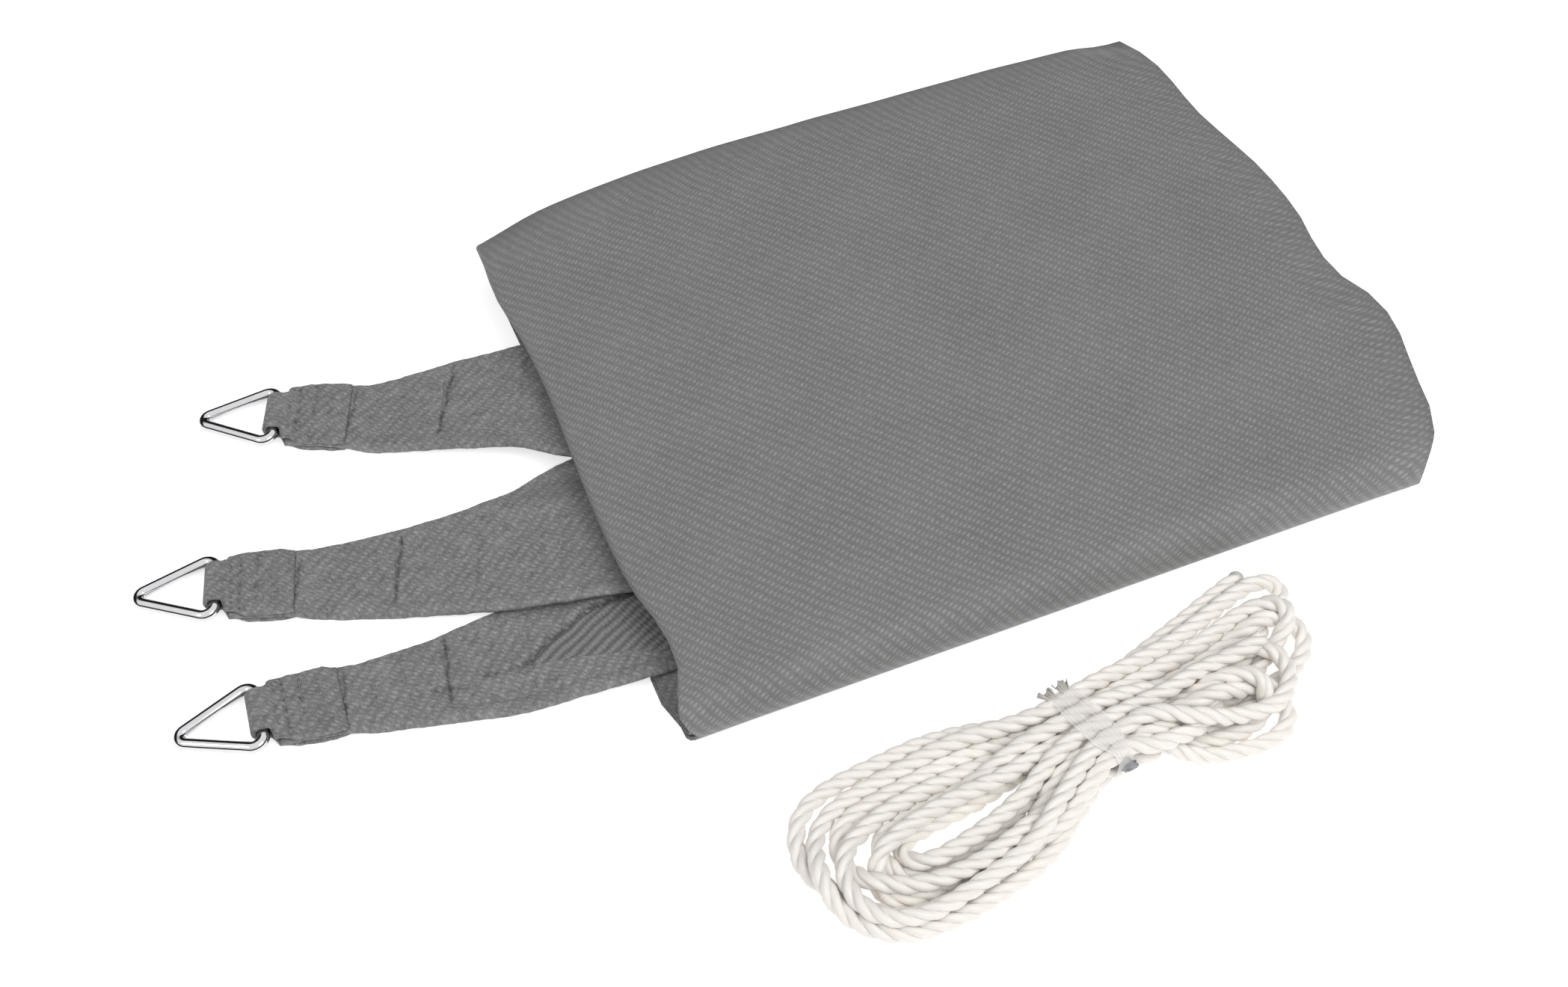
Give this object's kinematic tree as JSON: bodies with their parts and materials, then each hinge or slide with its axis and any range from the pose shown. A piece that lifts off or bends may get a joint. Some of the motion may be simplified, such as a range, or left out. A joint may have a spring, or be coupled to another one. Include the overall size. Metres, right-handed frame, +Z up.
{
  "type": "folded triangular shade sail",
  "caption": "Folded knitted shade sail with a delta ring sewn into each corner, packed flat with its fixing rope wound in a tied hank.",
  "frame": {"origin": "bottom centre of the sail's box, rings included and rope hank left out, on the surface it lies on", "axes": "+X along the packet, away from its corners and rings; +Y from the folded near edge to the far edge; +Z up"},
  "size_m": [0.6546, 0.4891, 0.031],
  "materials": {
    "sail_cloth": "matte",
    "hem_cloth": "matte",
    "thread": "satin",
    "ring_steel": "polished",
    "rope": "satin",
    "tie_film": "gloss"
  },
  "bodies": {
    "sail": {"sail_panel_outer": "sail_cloth", "sail_panel_inner": "sail_cloth", "corner_cloth_1": "sail_cloth", "corner_patch_1": "hem_cloth", "corner_hem_far_1": "hem_cloth", "corner_hem_near_1": "hem_cloth", "ring_loop_1": "hem_cloth", "loop_stitching_1": "thread", "corner_cloth_2": "sail_cloth", "corner_patch_2": "hem_cloth", "corner_hem_far_2": "hem_cloth", "corner_hem_near_2": "hem_cloth", "ring_loop_2": "hem_cloth", "loop_stitching_2": "thread", "corner_cloth_3": "sail_cloth", "corner_patch_3": "hem_cloth", "corner_hem_far_3": "hem_cloth", "corner_hem_near_3": "hem_cloth", "ring_loop_3": "hem_cloth", "loop_stitching_3": "thread"},
    "ring_1": {"corner_ring_1": "ring_steel"},
    "ring_2": {"corner_ring_2": "ring_steel"},
    "ring_3": {"corner_ring_3": "ring_steel"},
    "rope": {"rope_hank": "rope", "rope_tie": "tie_film"}
  },
  "joints": [
    {"name": "ring_1_swing", "type": "hinge", "parent": "sail", "child": "ring_1", "pos_m": [-0.2347, 0.09258, 0.0056], "axis": [0.3584, 0.9336, 0], "range_deg": [0, 120]},
    {"name": "ring_2_swing", "type": "hinge", "parent": "sail", "child": "ring_2", "pos_m": [-0.2877, -0.00542, 0.0056], "axis": [0.2588, 0.9659, 0], "range_deg": [0, 120]},
    {"name": "ring_3_swing", "type": "hinge", "parent": "sail", "child": "ring_3", "pos_m": [-0.2847, -0.08642, 0.0056], "axis": [0.0872, 0.9962, 0], "range_deg": [0, 120]},
    {"name": "rope_lift", "type": "slide", "parent": "sail", "child": "rope", "axis": [0, 0, 1], "range_m": [0, 0.15]}
  ]
}
